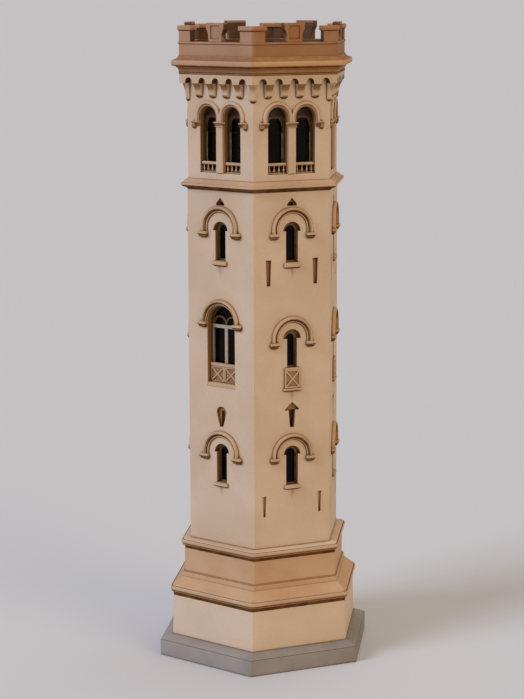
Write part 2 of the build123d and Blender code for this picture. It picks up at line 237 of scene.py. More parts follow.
def finish_surface(paint, tone, roughness, gloss=0.3):
    """Sets colour, an uneven sheen and the relief of cast, brushed plaster."""
    paint.surface("Base Color", tone)
    sheen = paint.patches(160.0, 3.0, 0.3, 0.7, roughness - 0.07, roughness + 0.08)
    paint.surface("Roughness", sheen)
    grain = paint.bump(paint.noise(1100.0, 3.0), 0.16, 0.0003)
    strokes = paint.node("Mapping", {"Vector": paint.place(), "Scale": (1.0, 1.0, 0.25)})
    waves = paint.noise(170.0, 3.0, vector=strokes.outputs["Vector"])
    paint.surface("Normal", paint.bump(waves, 0.10, 0.0008, grain))
    paint.surface("Specular IOR Level", gloss)
    return paint.material


def shaded_right_side(paint, tone, dark):
    """Painted shade: darkens the paint on the walls to the right of the front corner, the side turned from
    the key light.
    """
    across = paint.axis(paint.place(), "X")
    blotches = paint.patches(55.0, 4.0, 0.3, 0.7, 0.72, 1.0)
    return paint.mix(paint.times(paint.ramp(across, -0.001, 0.003), blotches), tone, dark)


def wash_and_shade_over(paint, amount, tone, dark):
    """Brown wash and painted shade: a thin coat glazes the paint warmly and a thick one hides it."""
    glazed = paint.mix(1.0, tone, SHADE_WASH_GLAZE, "MULTIPLY")
    thin = paint.mix(paint.ramp(amount, 0.0, 0.5), tone, glazed)
    return paint.mix(paint.ramp(amount, 0.45, 1.0), thin, dark)


# The wash argument sets a least amount of the brown of wash and painted shade over the whole surface.
def plaster(name, light, shade, hollow=0.75, underside=0.8, reach=0.004, wash=0.0, dark=None):
    """Painted plaster with brown wash and painted shade in the hollows and undersides, and worn, lighter
    edges.
    """
    paint = Paint(name)
    tone = coat_of_paint(paint, light, shade)
    if dark:
        tone = shaded_right_side(paint, tone, dark)
    patchy = paint.patches(240.0, 3.0, 0.25, 0.7, 0.8, 1.0)
    # Painted shade: brown in the hollows and on the undersides, laid with the brown wash.
    hollow_shade = paint.times(hollow_mask(paint, reach), hollow)
    underside_shade = paint.times(underside_mask(paint), underside)
    wash_and_shade_amount = paint.math("MAXIMUM", paint.math("MAXIMUM", hollow_shade, underside_shade), wash)
    brown = paint.mix(paint.patches(90.0, 4.0, 0.3, 0.7), SHADE_WASH_BROWN, PALE_SHADE_WASH_BROWN)
    tone = wash_and_shade_over(paint, paint.times(wash_and_shade_amount, patchy), tone, brown)
    worn = paint.times(edge_mask(paint, 0.0005), 0.16)
    worn = paint.times(worn, paint.patches(300.0, 3.0, 0.4, 0.62))
    tone = paint.mix(worn, tone, WORN_EDGE)
    return finish_surface(paint, tone, 0.66, 0.1 if wash > 0.5 else 0.3)


def three_paints(name, light, shade, **settings):
    """A paint, its solid brown of wash and painted shade, and the half-strength brown between them."""
    return (
        plaster(f"{name}_paint", light, shade, **settings),
        plaster(f"{name}_wash", light, shade, wash=0.97, **settings),
        plaster(f"{name}_half_wash_and_shade", light, shade, wash=0.36, **settings),
    )


def along_wall(paint, face):
    """Across, out and up in metres, for the wall that this face number names."""
    turned_place = paint.node("VectorRotate", {
        "Vector": paint.place(), "Axis": (0, 0, 1), "Angle": -radians(60 * face - 30),
    }, rotation_type="AXIS_ANGLE")
    parts = paint.node("SeparateXYZ", {"Vector": turned_place.outputs["Vector"]})
    return parts.outputs["X"], paint.times(parts.outputs["Y"], -1.0), parts.outputs["Z"]


def drip(paint, across, up, half_width, top, length):
    """A soft stain that runs down from the middle of a sill."""
    wander = paint.times(paint.math("SUBTRACT", paint.noise(90.0, 2.0), 0.5), 0.003)
    away = paint.math("ABSOLUTE", paint.math("ADD", across, wander))
    sides = paint.ramp(away, half_width * MM, half_width * 0.3 * MM)
    fade = paint.ramp(up, (top - length) * MM, top * MM)
    below = paint.ramp(up, (top + 0.5) * MM, top * MM)
    return paint.times(paint.times(sides, fade), below)


# Half width, length and strength of the stains under a sill.
STAINS = ((1.5, 8.5, 0.38), (4.5, 7.0, 0.14))
# Lowest and highest point of each row of slits, and the paint inside them: painted light that lifts the
# slits' insides out of their shadow, most in the low row.
SLITS = ((100.0, 117.5, colour(214, 176, 134)), (254.0, 270.0, colour(158, 110, 62)))


def wall_plaster(name, face, distance, stained_sills=()):
    """Wall paint: clean on the flat, brown in the reveals as painted shade that darkens deeper in, painted
    shade in the corners, stained under the sills.
    """
    paint = Paint(name)
    across, out, up = along_wall(paint, face)
    tone = coat_of_paint(paint, CREAM, CREAM_SHADE)
    # Painted shade: the reveals turn brown inside the wall face and darker deeper in.
    inside = paint.ramp(out, (distance - 0.10) * MM, (distance - 1.0) * MM)
    depth = paint.ramp(out, (distance - 2.6) * MM, (distance - 6.5) * MM)
    reveal = paint.mix(depth, REVEAL, REVEAL_DEEP)
    for bottom, top, floor_paint in SLITS:
        above = paint.ramp(up, (bottom - 0.5) * MM, bottom * MM)
        below = paint.ramp(up, (top + 0.5) * MM, top * MM)
        reveal = paint.mix(paint.times(above, below), reveal, floor_paint)
    tone = paint.mix(inside, tone, reveal)
    # Painted shade in the corners, weaker inside the reveals.
    strength = paint.ramp(inside, 0.0, 1.0, 0.75, 0.42)
    tone = wash_and_shade_over(paint, paint.times(hollow_mask(paint, 0.0022), strength), tone, SHADE_WASH_BROWN)
    for top in stained_sills:
        for half_width, length, strength in STAINS:
            stain = drip(paint, across, up, half_width, top, length)
            tone = paint.mix(paint.times(stain, strength), tone, PALE_SHADE_WASH_BROWN)
    return finish_surface(paint, tone, 0.64)


def stone_grey(name, strength=0.0):
    """Dusty grey paint with painted shade in its hollows; strength darkens it for the line along an edge.
    """
    paint = Paint(name)
    tone = coat_of_paint(paint, GREY, GREY_SHADE)
    dust = paint.patches(60.0, 5.0, 0.45, 0.75)
    tone = paint.mix(paint.times(dust, 0.35), tone, GREY_DUST)
    hollow = paint.math("MAXIMUM", paint.times(hollow_mask(paint, 0.003), 0.7), strength)
    tone = paint.mix(hollow, tone, GREY_LINE)
    scuffs = paint.times(edge_mask(paint, 0.0006), 0.3)
    scuffs = paint.times(scuffs, paint.patches(220.0, 3.0, 0.45, 0.6))
    tone = paint.mix(scuffs, tone, GREY_SCUFF)
    return finish_surface(paint, tone, 0.72)


def frame_paint(name, upper, lower, change, mottling=0.45):
    """Window-frame paint that turns from one colour to another at a height in millimetres, with painted
    shade in its hollows.
    """
    paint = Paint(name)
    up = paint.axis(paint.place(), "Z")
    above = paint.ramp(up, (change - 0.2) * MM, (change + 0.2) * MM)
    tone = paint.mix(above, lower, upper)
    mottle = paint.patches(420.0, 3.0, 0.35, 0.68, 0.0, mottling)
    tone = paint.mix(mottle, tone, SHADE_WASH_BROWN)
    # Painted shade in the hollows.
    tone = paint.mix(paint.times(hollow_mask(paint, 0.0015), 0.4), tone, SHADE_WASH_BROWN)
    return finish_surface(paint, tone, 0.6)


def crown_inside():
    """Crown paint that is dark brown on the sides that look inwards, as inner paint and painted shade, with
    painted shade in the hollows and undersides.
    """
    paint = Paint("crown_inner_paint")
    tone = shaded_right_side(paint, coat_of_paint(paint, CROWN, CROWN_SHADE), CROWN_DARK)
    geometry = paint.node("NewGeometry")
    outward = paint.node("VectorMath", {"Vector": paint.place()}, operation="NORMALIZE")
    facing = paint.dot(geometry.outputs["Normal"], outward.outputs["Vector"])
    inward = paint.ramp(facing, 0.0, -0.05)
    brown = paint.mix(paint.patches(70.0, 4.0, 0.3, 0.7), INNER_BROWN, INNER_SHADE)
    tone = paint.mix(inward, tone, brown)
    wash_and_shade_amount = paint.math("MAXIMUM", paint.times(hollow_mask(paint, 0.003), 0.7),
                        paint.times(underside_mask(paint), 0.85))
    return finish_surface(paint, paint.mix(wash_and_shade_amount, tone, SHADE_WASH_BROWN), 0.66)


def dark_glass():
    """Gloss panes painted near black as painted shade for the dark room behind them, with a faint
    unevenness.
    """
    paint = Paint("dark_glass")
    cloud = paint.patches(60.0, 2.0, 0.35, 0.7)
    paint.surface("Base Color", paint.mix(cloud, GLASS, GLASS_CLOUD))
    smear = paint.patches(90.0, 2.0, 0.3, 0.7, 0.14, 0.22)
    paint.surface("Roughness", smear)
    paint.surface("Normal", paint.bump(paint.noise(60.0, 1.0), 0.10, 0.0005))
    paint.surface("Specular IOR Level", 0.08)
    return paint.material


def screw_steel():
    paint = Paint("screw_steel")
    tone = paint.mix(paint.patches(700.0, 3.0, 0.3, 0.7), STEEL, STEEL_LIGHT)
    paint.surface("Base Color", tone)
    paint.surface("Metallic", 1.0)
    paint.surface("Roughness", paint.patches(900.0, 3.0, 0.3, 0.7, 0.28, 0.45))
    return paint.material


# ---- mesh helpers ----

def turned(face):
    return Matrix.Rotation(radians(60 * face - 30), 4, "Z")


# At a corner that points along -Y: along the wall to its right, out from that wall, and
# the factors that carry a point to the wall on the left.
ALONG = Vector((COS_30, sin(radians(30))))
OUTWARD = Vector((ALONG.y, -ALONG.x))
FLIP = Vector((-1, 1))


def at_corner(corner):
    return Matrix.Rotation(radians(60 * corner), 4, "Z")


# A solid belongs to a wall if its middle is this near the wall's middle line.
WALL_REACH = 20.0


def wall_solids(node, face):
    """The boxes of a node's separate solids on one wall, in wall millimetres, lowest first."""
    work = bmesh.new()
    work.from_mesh(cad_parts[node].data)
    bmesh.ops.remove_doubles(work, verts=work.verts, dist=0.000001)
    bmesh.ops.transform(work, matrix=turned(face).inverted(), verts=work.verts)
    boxes = []
    left = set(work.verts)
    while left:
        stack = [left.pop()]
        island = []
        while stack:
            vert = stack.pop()
            island.append(vert.co / MM)
            near = {edge.other_vert(vert) for edge in vert.link_edges} & left
            left -= near
            stack.extend(near)
        lowest = Vector([min(point[axis] for point in island) for axis in range(3)])
        highest = Vector([max(point[axis] for point in island) for axis in range(3)])
        if highest.y < 0 and abs(lowest.x + highest.x) / 2 < WALL_REACH:
            boxes.append((lowest, highest))
    work.free()
    return sorted(boxes, key=lambda box: (round(box[0].z, 2), box[0].x))


def add_object(name, data):
    made = bpy.data.objects.new(name, data)
    bpy.context.scene.collection.objects.link(made)
    return made


def object_from(work, name, materials, smooth_angle=35.0):
    """Turns a bmesh in metres into a shaded object in the scene."""
    bmesh.ops.recalc_face_normals(work, faces=work.faces)
    mesh = bpy.data.meshes.new(name)
    work.to_mesh(mesh)
    work.free()
    for material in materials:
        mesh.materials.append(material)
    mesh.shade_smooth()
    mesh.set_sharp_from_angle(angle=radians(smooth_angle))
    return add_object(name, mesh)


def mesh_object(name, build, materials, smooth_angle=35.0):
    """Makes an object from a function that fills a bmesh with points in millimetres."""
    work = bmesh.new()
    build(work)
    bmesh.ops.remove_doubles(work, verts=work.verts, dist=0.0005)
    bmesh.ops.scale(work, vec=(MM, MM, MM), verts=work.verts)
    return object_from(work, name, materials, smooth_angle)


def declare(piece, slot, *nodes):
    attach(piece, "root")
    if nodes:
        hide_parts(*nodes)


def soften(piece, width, segments=2):
    """Rounds a piece's edges by a width in millimetres."""
    bevel = piece.modifiers.new("soft_edges", "BEVEL")
    bevel.width = width * MM
    bevel.segments = segments
    bevel.limit_method = "ANGLE"
    bevel.angle_limit = radians(40)
    bevel.harden_normals = True


def loft_rings(work, rings, matrix=Matrix.Identity(4), level_paint=(), side_paint=(), hollow=False):
    """Joins closed rings of equal length and closes both ends, or joins the last to the first."""
    loops = [[work.verts.new(matrix @ Vector(point)) for point in ring] for ring in rings]
    pairs = list(zip(loops, loops[1:] + loops[:1] if hollow else loops[1:]))
    for level, (below, above) in enumerate(pairs):
        for index in range(len(below)):
            after = (index + 1) % len(below)
            face = work.faces.new((below[index], below[after], above[after], above[index]))
            if level_paint:
                face.material_index = level_paint[level]
            elif side_paint:
                face.material_index = side_paint[index]
    if hollow:
        return
    work.faces.new(list(reversed(loops[0]))).material_index = level_paint[0] if level_paint else PAINT
    work.faces.new(loops[-1]).material_index = level_paint[-1] if level_paint else PAINT


def hexagon_ring(radius, height, rounding):
    """A hexagon with rounded corners, one corner towards -Y."""
    points = []
    steps = 5
    inset = rounding / COS_30
    for corner in FACES:
        middle = radians(60 * corner - 90)
        centre = (radius - inset) * Vector((cos(middle), sin(middle)))
        for step in range(steps + 1):
            angle = middle + radians(60 * step / steps - 30)
            x, y = centre + rounding * Vector((cos(angle), sin(angle)))
            points.append((x, y, height))
    return points


def hex_moulding(name, profile, materials, rounding=0.5, hollow=False, smooth_angle=35.0):
    """A hexagonal piece from (corner radius, height, paint of the strip above) levels."""
    def build(work):
        rings = [hexagon_ring(radius, height, rounding) for radius, height, paint in profile]
        loft_rings(work, rings, level_paint=[paint for radius, height, paint in profile], hollow=hollow)
    return mesh_object(name, build, materials, smooth_angle)


def strips(radius, height, levels):
    """Part of a profile whose levels are (out from radius, up from height, paint)."""
    return [(radius + out, height + up, paint) for out, up, paint in levels]


def block(work, across, half, base, distance, levels, matrix, depth=0.2):
    """A moulded block on a wall: levels are (up from base, out from half, proud, paint)."""
    rings = []
    for up, out, proud, paint in levels:
        left, right, height = across - (half + out), across + (half + out), base + up
        front, back = -(distance + proud), -(distance - depth)
        rings.append([(left, back, height), (left, front, height),
                      (right, front, height), (right, back, height)])
    loft_rings(work, rings, matrix, level_paint=[level[3] for level in levels])


def lathe(work, across, distance, profile, matrix, sides=12):
    """A turned shape round an upright axis: the profile is (radius, height)."""
    rings = []
    for radius, height in profile:
        rings.append([(across + radius * cos(tau * side / sides),
                       -distance + radius * sin(tau * side / sides), height)
                      for side in range(sides)])
    loft_rings(work, rings, matrix)


def arch_sweep(work, across, centre, foot, radius, section, distance, matrix, steps=32):
    """A moulding over an arch and down both jambs: the section is (outwards, proud, paint)."""
    def ring(cosine, sine, height):
        return [(across + cosine * (radius + out), -(distance + proud), height + sine * (radius + out))
                for out, proud, paint in section]
    rings = [ring(1.0, 0.0, foot)]
    for step in range(steps + 1):
        angle = pi * step / steps
        rings.append(ring(cos(angle), sin(angle), centre))
    rings.append(ring(-1.0, 0.0, foot))
    loft_rings(work, rings, matrix, side_paint=[point[2] for point in section])


def bulged_ring(left_back, left_front, left_pull, right_pull, right_front, right_back, height, steps=8):
    """A plan whose front is a smooth bulge between two straight sides."""
    ring = [left_back]
    for step in range(steps + 1):
        t = step / steps
        ring.append(left_front * (1 - t) ** 3 + left_pull * 3 * t * (1 - t) ** 2
                    + right_pull * 3 * t ** 2 * (1 - t) + right_front * t ** 3)
    ring.append(right_back)
    return [(point.x, point.y, height) for point in ring]


def cut_plate(name, outlines, back, front, rounding=0.15):
    """A mesh of a flat plate from closed outlines of (across, up); inner outlines are holes."""
    curve = bpy.data.curves.new(name, "CURVE")
    curve.dimensions = "2D"
    curve.fill_mode = "BOTH"
    curve.extrude = max((front - back) / 2 - rounding, 0.01) * MM
    curve.bevel_depth = rounding * MM
    curve.bevel_resolution = 1
    curve.offset = -rounding * MM
    for outline in outlines:
        spline = curve.splines.new("POLY")
        spline.points.add(len(outline) - 1)
        spline.use_cyclic_u = True
        for point, (across, up) in zip(spline.points, outline):
            point.co = (across * MM, up * MM, 0, 1)
    holder = bpy.data.objects.new(name, curve)
    mesh = bpy.data.meshes.new_from_object(holder)
    bpy.data.objects.remove(holder)
    middle = -(front + back) / 2 * MM
    mesh.transform(Matrix.Translation((0, middle, 0)) @ Matrix.Rotation(pi / 2, 4, "X"))
    return mesh


def plate_piece(name, parts, materials):
    """One object from several (plate mesh, face, paint) parts."""
    work = bmesh.new()
    for mesh, face, paint in parts:
        copy = mesh.copy()
        copy.transform(turned(face))
        first = len(work.faces)
        work.from_mesh(copy)
        work.faces.ensure_lookup_table()
        for index in range(first, len(work.faces)):
            work.faces[index].material_index = paint
        bpy.data.meshes.remove(copy)
    bmesh.ops.remove_doubles(work, verts=work.verts, dist=0.000002)
    return object_from(work, name, materials)


def rectangle(width, bottom, top, across=0.0):
    half = width / 2
    return [(across - half, bottom), (across + half, bottom), (across + half, top), (across - half, top)]


# ---- materials ----

tracery_paint = frame_paint("tracery_paint", TRACERY, TRACERY, 0.0)
bead_paint = frame_paint("bead_paint", PALE_BEAD, PALE_BEAD, 0.0)

moulding_paints = three_paints("moulding", TAN, TAN_SHADE, hollow=0.8, underside=0.9)
trim_paints = three_paints("trim", TAN, TAN_SHADE, hollow=0.8, underside=0.8, reach=0.0025)
plinth_paints = three_paints("plinth", PLINTH, CREAM, hollow=0.4, underside=0.3)
pedestal_paints = three_paints("pedestal", OCHRE, OCHRE_SHADE, hollow=0.5, underside=0.8)
# The crown and cornice paints darken right of the front corner as painted shade.
crown_paints = three_paints("crown", CROWN, CROWN_SHADE, hollow=0.7, underside=0.9, dark=CROWN_DARK)
cornice_paints = three_paints("cornice", CORNICE, CROWN, hollow=0.6, underside=0.5, dark=CORNICE_DARK)
corbel_paints = three_paints("corbel", CREAM_SHADE, TAN, hollow=0.55, underside=0.8, reach=0.0022)
ledge_paint = plaster("ledge_paint", CREAM, CREAM_SHADE, hollow=0.4)
deck_paint = plaster("deck_paint", DECK, DECK_SHADE, hollow=0.8)
inner_crown_paint = crown_inside()
grey_paints = (stone_grey("stone_grey"), stone_grey("stone_grey_line", 0.75))
glass = dark_glass()
steel = screw_steel()


# ---- foot ----

STONE, EDGE_LINE = range(2)


def base_plate():
    outer = corner_radius("base_plate")
    top = high("base_plate").z
    edge = top - 2.6
    inner = corner_radius("plinth_block")
    profile = [(outer - 0.5, 0.0, STONE), (outer, 0.5, STONE), (outer, edge - 1.3, STONE),
               (outer - 0.25, edge - 0.9, EDGE_LINE), (outer - 0.45, edge - 0.5, STONE),
               (outer - 0.9, edge, STONE), (inner - 0.5, top, STONE)]
    declare(hex_moulding("base_plate_body", profile, grey_paints, 0.8), "grey_base", "base_plate")


def plinth():
    foot, top, radius = hex_sizes("plinth_block")
    # The half-strength brown at the foot is brown wash and painted shade where the plinth meets the plate.
    profile = [(radius, foot, HALF_WASH_AND_SHADE), (radius, foot + 0.5, PAINT), (radius - 0.7, top, PAINT)]
    declare(hex_moulding("plinth_body", profile, plinth_paints, 1.2), "plinth_plaster", "plinth_block")


def nosing(foot, top, start, tip, end):
    """A cavetto, a fillet, a round nose, a thin groove and a ledge that runs back to end; the cavetto and
    the groove are brown, as brown wash and painted shade.
    """
    height = top - foot
    hollow = [(start + (tip - start - 0.8) * (1 - cos(radians(18 * step))),
               foot + 0.34 * height * sin(radians(18 * step)), WASH_AND_SHADE) for step in range(6)]
    fillet = [(tip - 0.75, foot + 0.36 * height, HALF_WASH_AND_SHADE), (tip - 0.7, foot + 0.44 * height, HALF_WASH_AND_SHADE)]
    nose_low, nose_high = foot + 0.46 * height, top - 0.14 * height
    middle, reach = (nose_low + nose_high) / 2, (nose_high - nose_low) / 2
    angles = [radians(20 * step - 80) for step in range(9)]
    nose = [(tip - 0.7 + 0.7 * cos(angle), middle + reach * sin(angle), PAINT) for angle in angles]
    nose[-1] = (nose[-1][0], nose[-1][1], WASH_AND_SHADE)
    groove = [(tip - 1.05, nose_high - 0.15, WASH_AND_SHADE), (tip - 1.3, nose_high + 0.1, LEDGE)]
    return hollow + fillet + nose + groove + [(end, top, LEDGE)]


def plinth_moulding():
    foot, top, tip = hex_sizes("plinth_moulding")
    profile = nosing(foot, top, tip - 2.3, tip, tip - 1.9)
    piece = hex_moulding("plinth_moulding_body", profile, moulding_paints + (pedestal_paints[0],), 4.0)
    declare(piece, "moulding_plaster", "plinth_moulding")


def pedestal():
    foot, top, radius = hex_sizes("pedestal_block")
    die = corner_radius("pedestal_moulding") - 2.6
    slope = [(radius + (die + 2.6 - radius) * step / 4, foot + 4.6 * (step / 4) ** 1.15, PAINT)
             for step in range(5)]
    # The half-strength brown strips at the die's foot are brown wash and painted shade in the step.
    profile = slope + strips(die, foot, (
        (2.0, 4.9, HALF_WASH_AND_SHADE), (1.75, 5.3, PAINT), (1.6, 7.5, PAINT), (1.3, 7.95, HALF_WASH_AND_SHADE), (0.4, 8.4, HALF_WASH_AND_SHADE),
        (0.1, 9.4, PAINT), (0.0, 9.8, PAINT), (0.0, top - foot, PAINT)))
    piece = hex_moulding("pedestal_body", profile, pedestal_paints, 1.2, smooth_angle=16.0)
    declare(piece, "pedestal_plaster", "pedestal_block")


def pedestal_moulding():
    foot, top, tip = hex_sizes("pedestal_moulding")
    profile = nosing(foot, top, tip - 2.6, tip, tip - 2.1)
    profile[-1:] = [(tip - 1.6, top - 0.35, LEDGE), (tip - 5.0, top, LEDGE)]
    piece = hex_moulding("pedestal_moulding_body", profile, moulding_paints + (ledge_paint,), 4.0)
    declare(piece, "moulding_plaster", "pedestal_moulding")


def string_course():
    foot, top, tip = hex_sizes("string_course")
    shaft = tip - 5.0
    # The underside is solid brown: brown wash and painted shade.
    profile = strips(shaft, foot, (
        (0.0, 0.0, WASH_AND_SHADE), (0.4, 0.6, WASH_AND_SHADE), (1.5, 1.2, WASH_AND_SHADE), (3.3, 1.9, WASH_AND_SHADE)))
    profile += strips(tip, foot, (
        (-0.8, 2.3, WASH_AND_SHADE), (-0.5, 2.6, PAINT), (-0.05, 3.0, PAINT), (0.0, 3.9, PAINT),
        (-0.5, 4.4, HALF_WASH_AND_SHADE), (-1.0, 4.6, PAINT)))
    profile += strips(tip, top, ((-4.3, -0.6, PAINT), (-5.1, -0.35, HALF_WASH_AND_SHADE), (-5.55, 0.0, PAINT)))
    piece = hex_moulding("string_course_body", profile, moulding_paints, 1.5)
    declare(piece, "moulding_plaster", "string_course")


def cornice():
    foot, top, tip = hex_sizes("roof_deck")
    wall = tip - 5.7
    # The bead and the hollow under the fascia are brown: brown wash and painted shade.
    hollow = [(wall + 0.4 + 4.6 * (1 - cos(radians(18 * step))),
               foot + 0.7 + 3.8 * sin(radians(18 * step)), WASH_AND_SHADE if step > 2 else HALF_WASH_AND_SHADE)
              for step in range(6)]
    bead = strips(wall, foot, (
        (0.0, -0.9, WASH_AND_SHADE), (0.35, -0.8, WASH_AND_SHADE), (0.55, -0.4, HALF_WASH_AND_SHADE), (0.5, 0.05, WASH_AND_SHADE),
        (0.25, 0.2, WASH_AND_SHADE)))
    fascia = strips(tip, foot, (
        (-0.3, 4.7, PAINT), (0.0, 5.1, PAINT), (0.0, 7.6, PAINT), (-0.3, 8.0, HALF_WASH_AND_SHADE),
        (-1.3, 8.3, HALF_WASH_AND_SHADE), (-3.2, 8.9, HALF_WASH_AND_SHADE), (-4.4, 9.7, HALF_WASH_AND_SHADE)))
    profile = bead + hollow + fascia + [(tip - 5.2, top, LEDGE)]
    piece = hex_moulding("cornice_body", profile, cornice_paints + (deck_paint,), 1.2)
    declare(piece, "moulding_plaster", "roof_deck")


# ---- hoods, sills and aprons of the shaft ----

RING_WIDTH = 3.8
STOP_RETURN = 0.6
# The stops' lower levels and the hoods' inner groove are brown: brown wash and painted shade.
STOP_LEVELS = (
    (0.0, -1.0, 0.6, WASH_AND_SHADE), (0.4, -0.7, 1.8, WASH_AND_SHADE), (1.3, -0.6, 2.4, HALF_WASH_AND_SHADE), (1.6, -0.5, 2.2, WASH_AND_SHADE),
    (1.9, -0.1, 2.8, WASH_AND_SHADE), (2.4, 0.0, 3.15, PAINT), (3.5, 0.0, 3.15, PAINT), (3.85, -0.2, 3.0, PAINT),
    (4.0, -0.6, 2.5, PAINT),
)
HOOD_SECTION = (
    (0.0, 0.02, HALF_WASH_AND_SHADE), (0.0, 1.0, PAINT), (0.25, 1.15, PAINT), (0.65, 1.1, WASH_AND_SHADE),
    (0.8, 0.8, WASH_AND_SHADE), (1.2, 0.75, WASH_AND_SHADE), (1.5, 1.15, HALF_WASH_AND_SHADE), (1.9, 1.95, HALF_WASH_AND_SHADE),
    (2.2, 2.45, PAINT), (2.75, 2.58, PAINT), (3.3, 2.25, PAINT), (3.65, 1.5, PAINT), (3.8, 0.8, PAINT),
    (3.8, 0.02, PAINT),
)


def hood(work, matrix, box, stop_reach, ring_width):
    """A moulded arch on two stops that stand wider than it, set out from its plain solid."""
    lowest, highest = box
    outer = highest.x - stop_reach
    inner = outer - ring_width
    centre = highest.z - outer
    stop_top = lowest.z + STOP_LEVELS[-1][0]
    section = [(out * ring_width / RING_WIDTH, proud, paint) for out, proud, paint in HOOD_SECTION]
    arch_sweep(work, 0.0, centre, stop_top - 0.3, inner, section, shaft_face, matrix)
    near, far = inner - STOP_RETURN, highest.x
    half = (far - near) / 2
    for side in (-1, 1):
        block(work, side * (near + far) / 2, half, lowest.z, shaft_face, STOP_LEVELS, matrix)


def hood_piece(face):
    large = face in LARGE_WINDOW_FACES
    stop_reach = 2.6 if large else 1.4
    boxes = wall_solids(f"hood_moulds_{face}", face)

    def build(work):
        for number, box in enumerate(boxes):
            slender = 0.6 if large and number == 1 else 0.0
            hood(work, turned(face), box, stop_reach, RING_WIDTH - slender)
    declare(mesh_object(f"hoods_{face}", build, trim_paints), "trim_plaster", f"hood_moulds_{face}")


def sill_piece(face):
    boxes = wall_solids(f"window_sills_{face}", face)

    def build(work):
        for lowest, highest in boxes:
            rise = highest.z - lowest.z
            # The sill's lower levels are brown: brown wash and painted shade on its underside.
            levels = ((0.0, -1.0, 0.5, WASH_AND_SHADE), (0.4, -0.7, 1.1, WASH_AND_SHADE), (0.8, -0.2, 1.7, PAINT),
                      (1.1, 0.0, 1.95, PAINT), (rise - 0.9, 0.0, 1.95, PAINT),
                      (rise - 0.6, -0.15, 1.8, PAINT), (rise, -0.4, 0.5, PAINT))
            block(work, 0.0, highest.x, lowest.z, shaft_face, levels, turned(face))
    declare(mesh_object(f"sills_{face}", build, trim_paints), "trim_plaster", f"window_sills_{face}")


def crossed_outlines(width, bottom, top, bar, across=0.0):
    """A framed panel with a diagonal cross: the outer edge and the four triangles between."""
    half = width / 2
    middle = (bottom + top) / 2
    inner_half = half - bar
    inner_low, inner_high = bottom + bar, top - bar
    slope = (inner_high - inner_low) / (2 * inner_half)
    length = hypot(1, slope)
    rise = bar * length / 2
    run = rise / slope
    side_gap = inner_half * slope - rise
    foot_gap = inner_half - run
    holes = []
    for side in (-1, 1):
        holes.append([(across + side * run, middle), (across + side * inner_half, middle - side_gap),
                      (across + side * inner_half, middle + side_gap)])
    for end, edge in ((-1, inner_low), (1, inner_high)):
        holes.append([(across, middle + end * rise), (across - foot_gap, edge), (across + foot_gap, edge)])
    return [rectangle(width, bottom, top, across)] + holes


LATTICE_BAR = 1.1


def aprons():
    """Crossed panels on their backings, with a thin rail along the top."""
    parts = []
    for face in PLAIN_FACES:
        lowest, highest = wall_solids("lattice_aprons", face)[0]
        width, bottom, top = 2 * highest.x, lowest.z, highest.z
        front = -lowest.y
        lattice = cut_plate("lattice", crossed_outlines(width, bottom, top - 1.2, LATTICE_BAR),
                            shaft_face + 0.4, front - 0.15, 0.25)
        backing = cut_plate("backing", [rectangle(width - 0.6, bottom + 0.2, top - 0.4)],
                            shaft_face + 0.02, shaft_face + 0.55, 0.05)
        rail = cut_plate("rail", [rectangle(width, top - 1.3, top)], shaft_face + 0.02, front, 0.3)
        # The sunk backings are half-strength brown: brown wash and painted shade behind the lattice.
        parts += [(lattice, face, PAINT), (backing, face, HALF_WASH_AND_SHADE), (rail, face, PAINT)]
    declare(plate_piece("crossed_aprons", parts, trim_paints), "trim_plaster", "lattice_aprons")


def balconies():
    """Two crossed bays, a rail and a ledge in the foot of each large window."""
    parts = []
    for face in LARGE_WINDOW_FACES:
        lowest, highest = wall_solids("window_balconies", face)[0]
        half, bottom, top = highest.x, lowest.z, highest.z
        front = shaft_face - 3.2
        back = -highest.y
        foot, rail_foot = bottom + 2.7, top - 2.0
        for side in (-1, 1):
            outlines = crossed_outlines(half, foot, rail_foot, LATTICE_BAR, side * half / 2)
            bay = cut_plate("bay", outlines, front - 1.0, front, 0.25)
            parts.append((bay, face, PAINT))
        panel = rectangle(2 * half - 0.4, foot - 0.2, rail_foot + 0.2)
        backing = cut_plate("back", [panel], back, front - 0.75, 0.05)
        rail = cut_plate("rail", [rectangle(2 * half, rail_foot, top)], back, front + 0.6, 0.35)
        ledge = cut_plate("ledge", [rectangle(2 * half, bottom, foot)], back, shaft_face, 0.35)
        # The sunk backings are half-strength brown: brown wash and painted shade behind the lattice.
        parts += [(backing, face, HALF_WASH_AND_SHADE), (rail, face, PAINT), (ledge, face, PAINT)]
    declare(plate_piece("crossed_balconies", parts, trim_paints), "trim_plaster", "window_balconies")


# ---- belfry ----

# Brown strips in the archivolt, capital and impost tables are brown wash and painted shade in soffits,
# grooves and undersides.
ARCHIVOLT_SECTION = (
    (0.0, 0.02, WASH_AND_SHADE), (0.0, 0.7, HALF_WASH_AND_SHADE), (0.3, 0.85, HALF_WASH_AND_SHADE), (0.95, 0.9, HALF_WASH_AND_SHADE),
    (1.15, 1.35, PAINT), (1.7, 1.65, PAINT), (2.4, 1.65, PAINT), (2.9, 1.35, PAINT), (3.2, 0.8, PAINT),
    (3.3, 0.02, PAINT),
)
CAPITAL_LEVELS = (
    (-3.5, -0.2, 1.0, HALF_WASH_AND_SHADE), (-3.2, 0.1, 1.5, PAINT), (-2.7, 0.1, 1.5, WASH_AND_SHADE), (-2.4, -0.2, 1.1, HALF_WASH_AND_SHADE),
    (-1.5, 0.1, 1.4, WASH_AND_SHADE), (-1.2, 0.7, 2.0, PAINT), (-0.4, 0.8, 2.35, PAINT), (0.0, 0.5, 2.1, PAINT),
)
